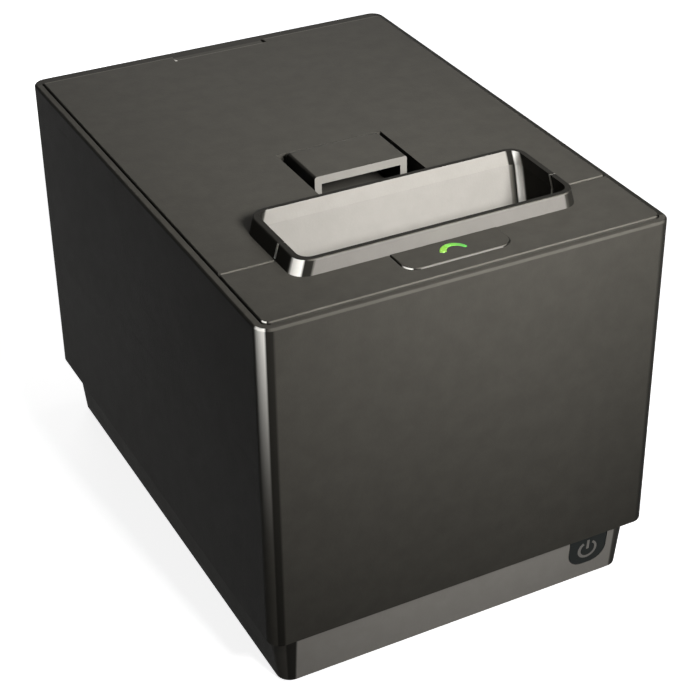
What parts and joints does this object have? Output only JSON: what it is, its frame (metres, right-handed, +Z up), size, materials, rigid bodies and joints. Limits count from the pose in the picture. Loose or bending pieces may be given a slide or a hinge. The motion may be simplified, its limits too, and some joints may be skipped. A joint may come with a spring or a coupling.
{
  "type": "receipt printer",
  "caption": "Desktop thermal receipt printer for 80 mm rolls with a clamshell lid, raised paper exit collar, release lever, feed key and cutter.",
  "frame": {"origin": "on the standing surface, under the centre of the case", "axes": "+X to the right seen from the front, +Y to the back, +Z up"},
  "size_m": [0.145, 0.2, 0.1485],
  "materials": {
    "case_dark": "fine textured dark grey case plastic",
    "base_grey": "fine textured mid grey base plastic",
    "key_black": "smooth black key plastic",
    "inner_black": "black inner moulding",
    "light_green": "clear green light guide",
    "rubber_black": "soft black rubber",
    "steel_plate": "zinc plated sheet steel",
    "steel_bright": "ground bright steel",
    "screw_steel": "plated screws",
    "alloy": "bare aluminium",
    "head_ceramic": "glazed print head strip",
    "gear_white": "natural acetal gears",
    "board_green": "solder mask on glass epoxy",
    "chip_black": "moulded chip packages",
    "can_silver": "capacitor cans",
    "port_black": "black connector bodies",
    "motor_steel": "motor cans",
    "brass_bush": "sintered bushes"
  },
  "bodies": {
    "printer_body": {"base_pan": "base_grey", "rubber_feet": "rubber_black", "base_screws": "screw_steel", "outer_casing": "case_dark", "power_switch": "port_black", "front_panel": "case_dark", "key_board": "board_green", "feed_switch": "port_black", "status_lamp": "light_green", "key_screws": "screw_steel", "hinge_rod": "steel_bright", "gear_studs": "steel_bright", "print_frame": "steel_plate", "print_head": "head_ceramic", "heat_sink": "alloy", "head_pin": "steel_bright", "head_bracket": "steel_plate", "head_springs": "steel_bright", "feed_motor": "motor_steel", "cutter_frame": "steel_plate", "cutter_cover": "steel_plate", "cutter_motor": "motor_steel", "chassis": "inner_black", "chassis_screws": "screw_steel", "frame_screws": "screw_steel", "paper_bucket": "inner_black", "paper_sensor": "port_black", "lid_switch": "port_black", "main_board": "board_green", "board_screws": "screw_steel", "board_chips": "chip_black", "capacitors": "can_silver", "connector_tray": "steel_plate", "power_jack": "port_black", "drawer_port": "port_black", "usb_port": "port_black", "network_port": "port_black"},
    "lid": {"lid": "case_dark", "lever_spring": "steel_bright", "platen_holder": "steel_plate", "holder_screws": "screw_steel", "counter_blade": "steel_bright", "platen_bushes": "brass_bush"},
    "release_lever": {"release_lever": "case_dark", "latch_shaft": "steel_bright", "latch_hooks": "steel_plate"},
    "platen": {"platen_roller": "rubber_black", "platen_shaft": "steel_bright", "platen_gear": "gear_white"},
    "idler_gear": {"idler_gear": "gear_white"},
    "reduction_gear": {"reduction_gear": "gear_white"},
    "feed_drive": {"motor_pinion": "gear_white", "feed_motor_shaft": "steel_bright"},
    "cutter_blade": {"moving_blade": "steel_bright", "blade_rack": "gear_white"},
    "cutter_drive": {"cutter_gear": "gear_white", "cutter_motor_shaft": "steel_bright"},
    "feed_button": {"feed_button": "case_dark", "status_light": "light_green"},
    "power_button": {"power_button": "key_black"}
  },
  "joints": [
    {"name": "lid_hinge", "type": "hinge", "parent": "printer_body", "child": "lid", "pos_m": [0, 0.08, 0.1377], "axis": [-1, 0, 0], "range_deg": [0, 82]},
    {"name": "lever_pivot", "type": "hinge", "parent": "lid", "child": "release_lever", "pos_m": [0, -0.0083, 0.1365], "axis": [-1, 0, 0], "range_deg": [0, 16], "stiffness_Nm_per_rad": 0.008, "springref_deg": -20.05},
    {"name": "platen_spin", "type": "hinge", "parent": "lid", "child": "platen", "pos_m": [0, -0.0545, 0.111], "axis": [1, 0, 0], "continuous": true},
    {"name": "idler_spin", "type": "hinge", "parent": "printer_body", "child": "idler_gear", "pos_m": [0, -0.05121, 0.0944], "axis": [1, 0, 0], "continuous": true},
    {"name": "reduction_spin", "type": "hinge", "parent": "printer_body", "child": "reduction_gear", "pos_m": [0, -0.0729, 0.09554], "axis": [1, 0, 0], "continuous": true},
    {"name": "feed_motor_spin", "type": "hinge", "parent": "printer_body", "child": "feed_drive", "pos_m": [0, -0.08586, 0.10642], "axis": [1, 0, 0], "continuous": true},
    {"name": "cutter_stroke", "type": "slide", "parent": "printer_body", "child": "cutter_blade", "axis": [0, 1, 0], "range_m": [0, 0.0075]},
    {"name": "cutter_spin", "type": "hinge", "parent": "printer_body", "child": "cutter_drive", "pos_m": [0, -0.08, 0.108], "axis": [-1, 0, 0], "range_deg": [0, 42.5]},
    {"name": "feed_press", "type": "slide", "parent": "printer_body", "child": "feed_button", "axis": [0, 0, -1], "range_m": [0, 0.0008], "stiffness_N_per_m": 300, "springref_m": -0.001},
    {"name": "power_press", "type": "slide", "parent": "printer_body", "child": "power_button", "axis": [0, 1, 0], "range_m": [0, 0.0015], "stiffness_N_per_m": 300, "springref_m": -0.001}
  ],
  "couplings": [
    {"joint": "idler_spin", "follows": "platen_spin", "ratio": -0.75},
    {"joint": "reduction_spin", "follows": "platen_spin", "ratio": 0.6},
    {"joint": "feed_motor_spin", "follows": "platen_spin", "ratio": -1.5},
    {"joint": "cutter_spin", "follows": "cutter_stroke", "rad_per_m": 96.154}
  ]
}
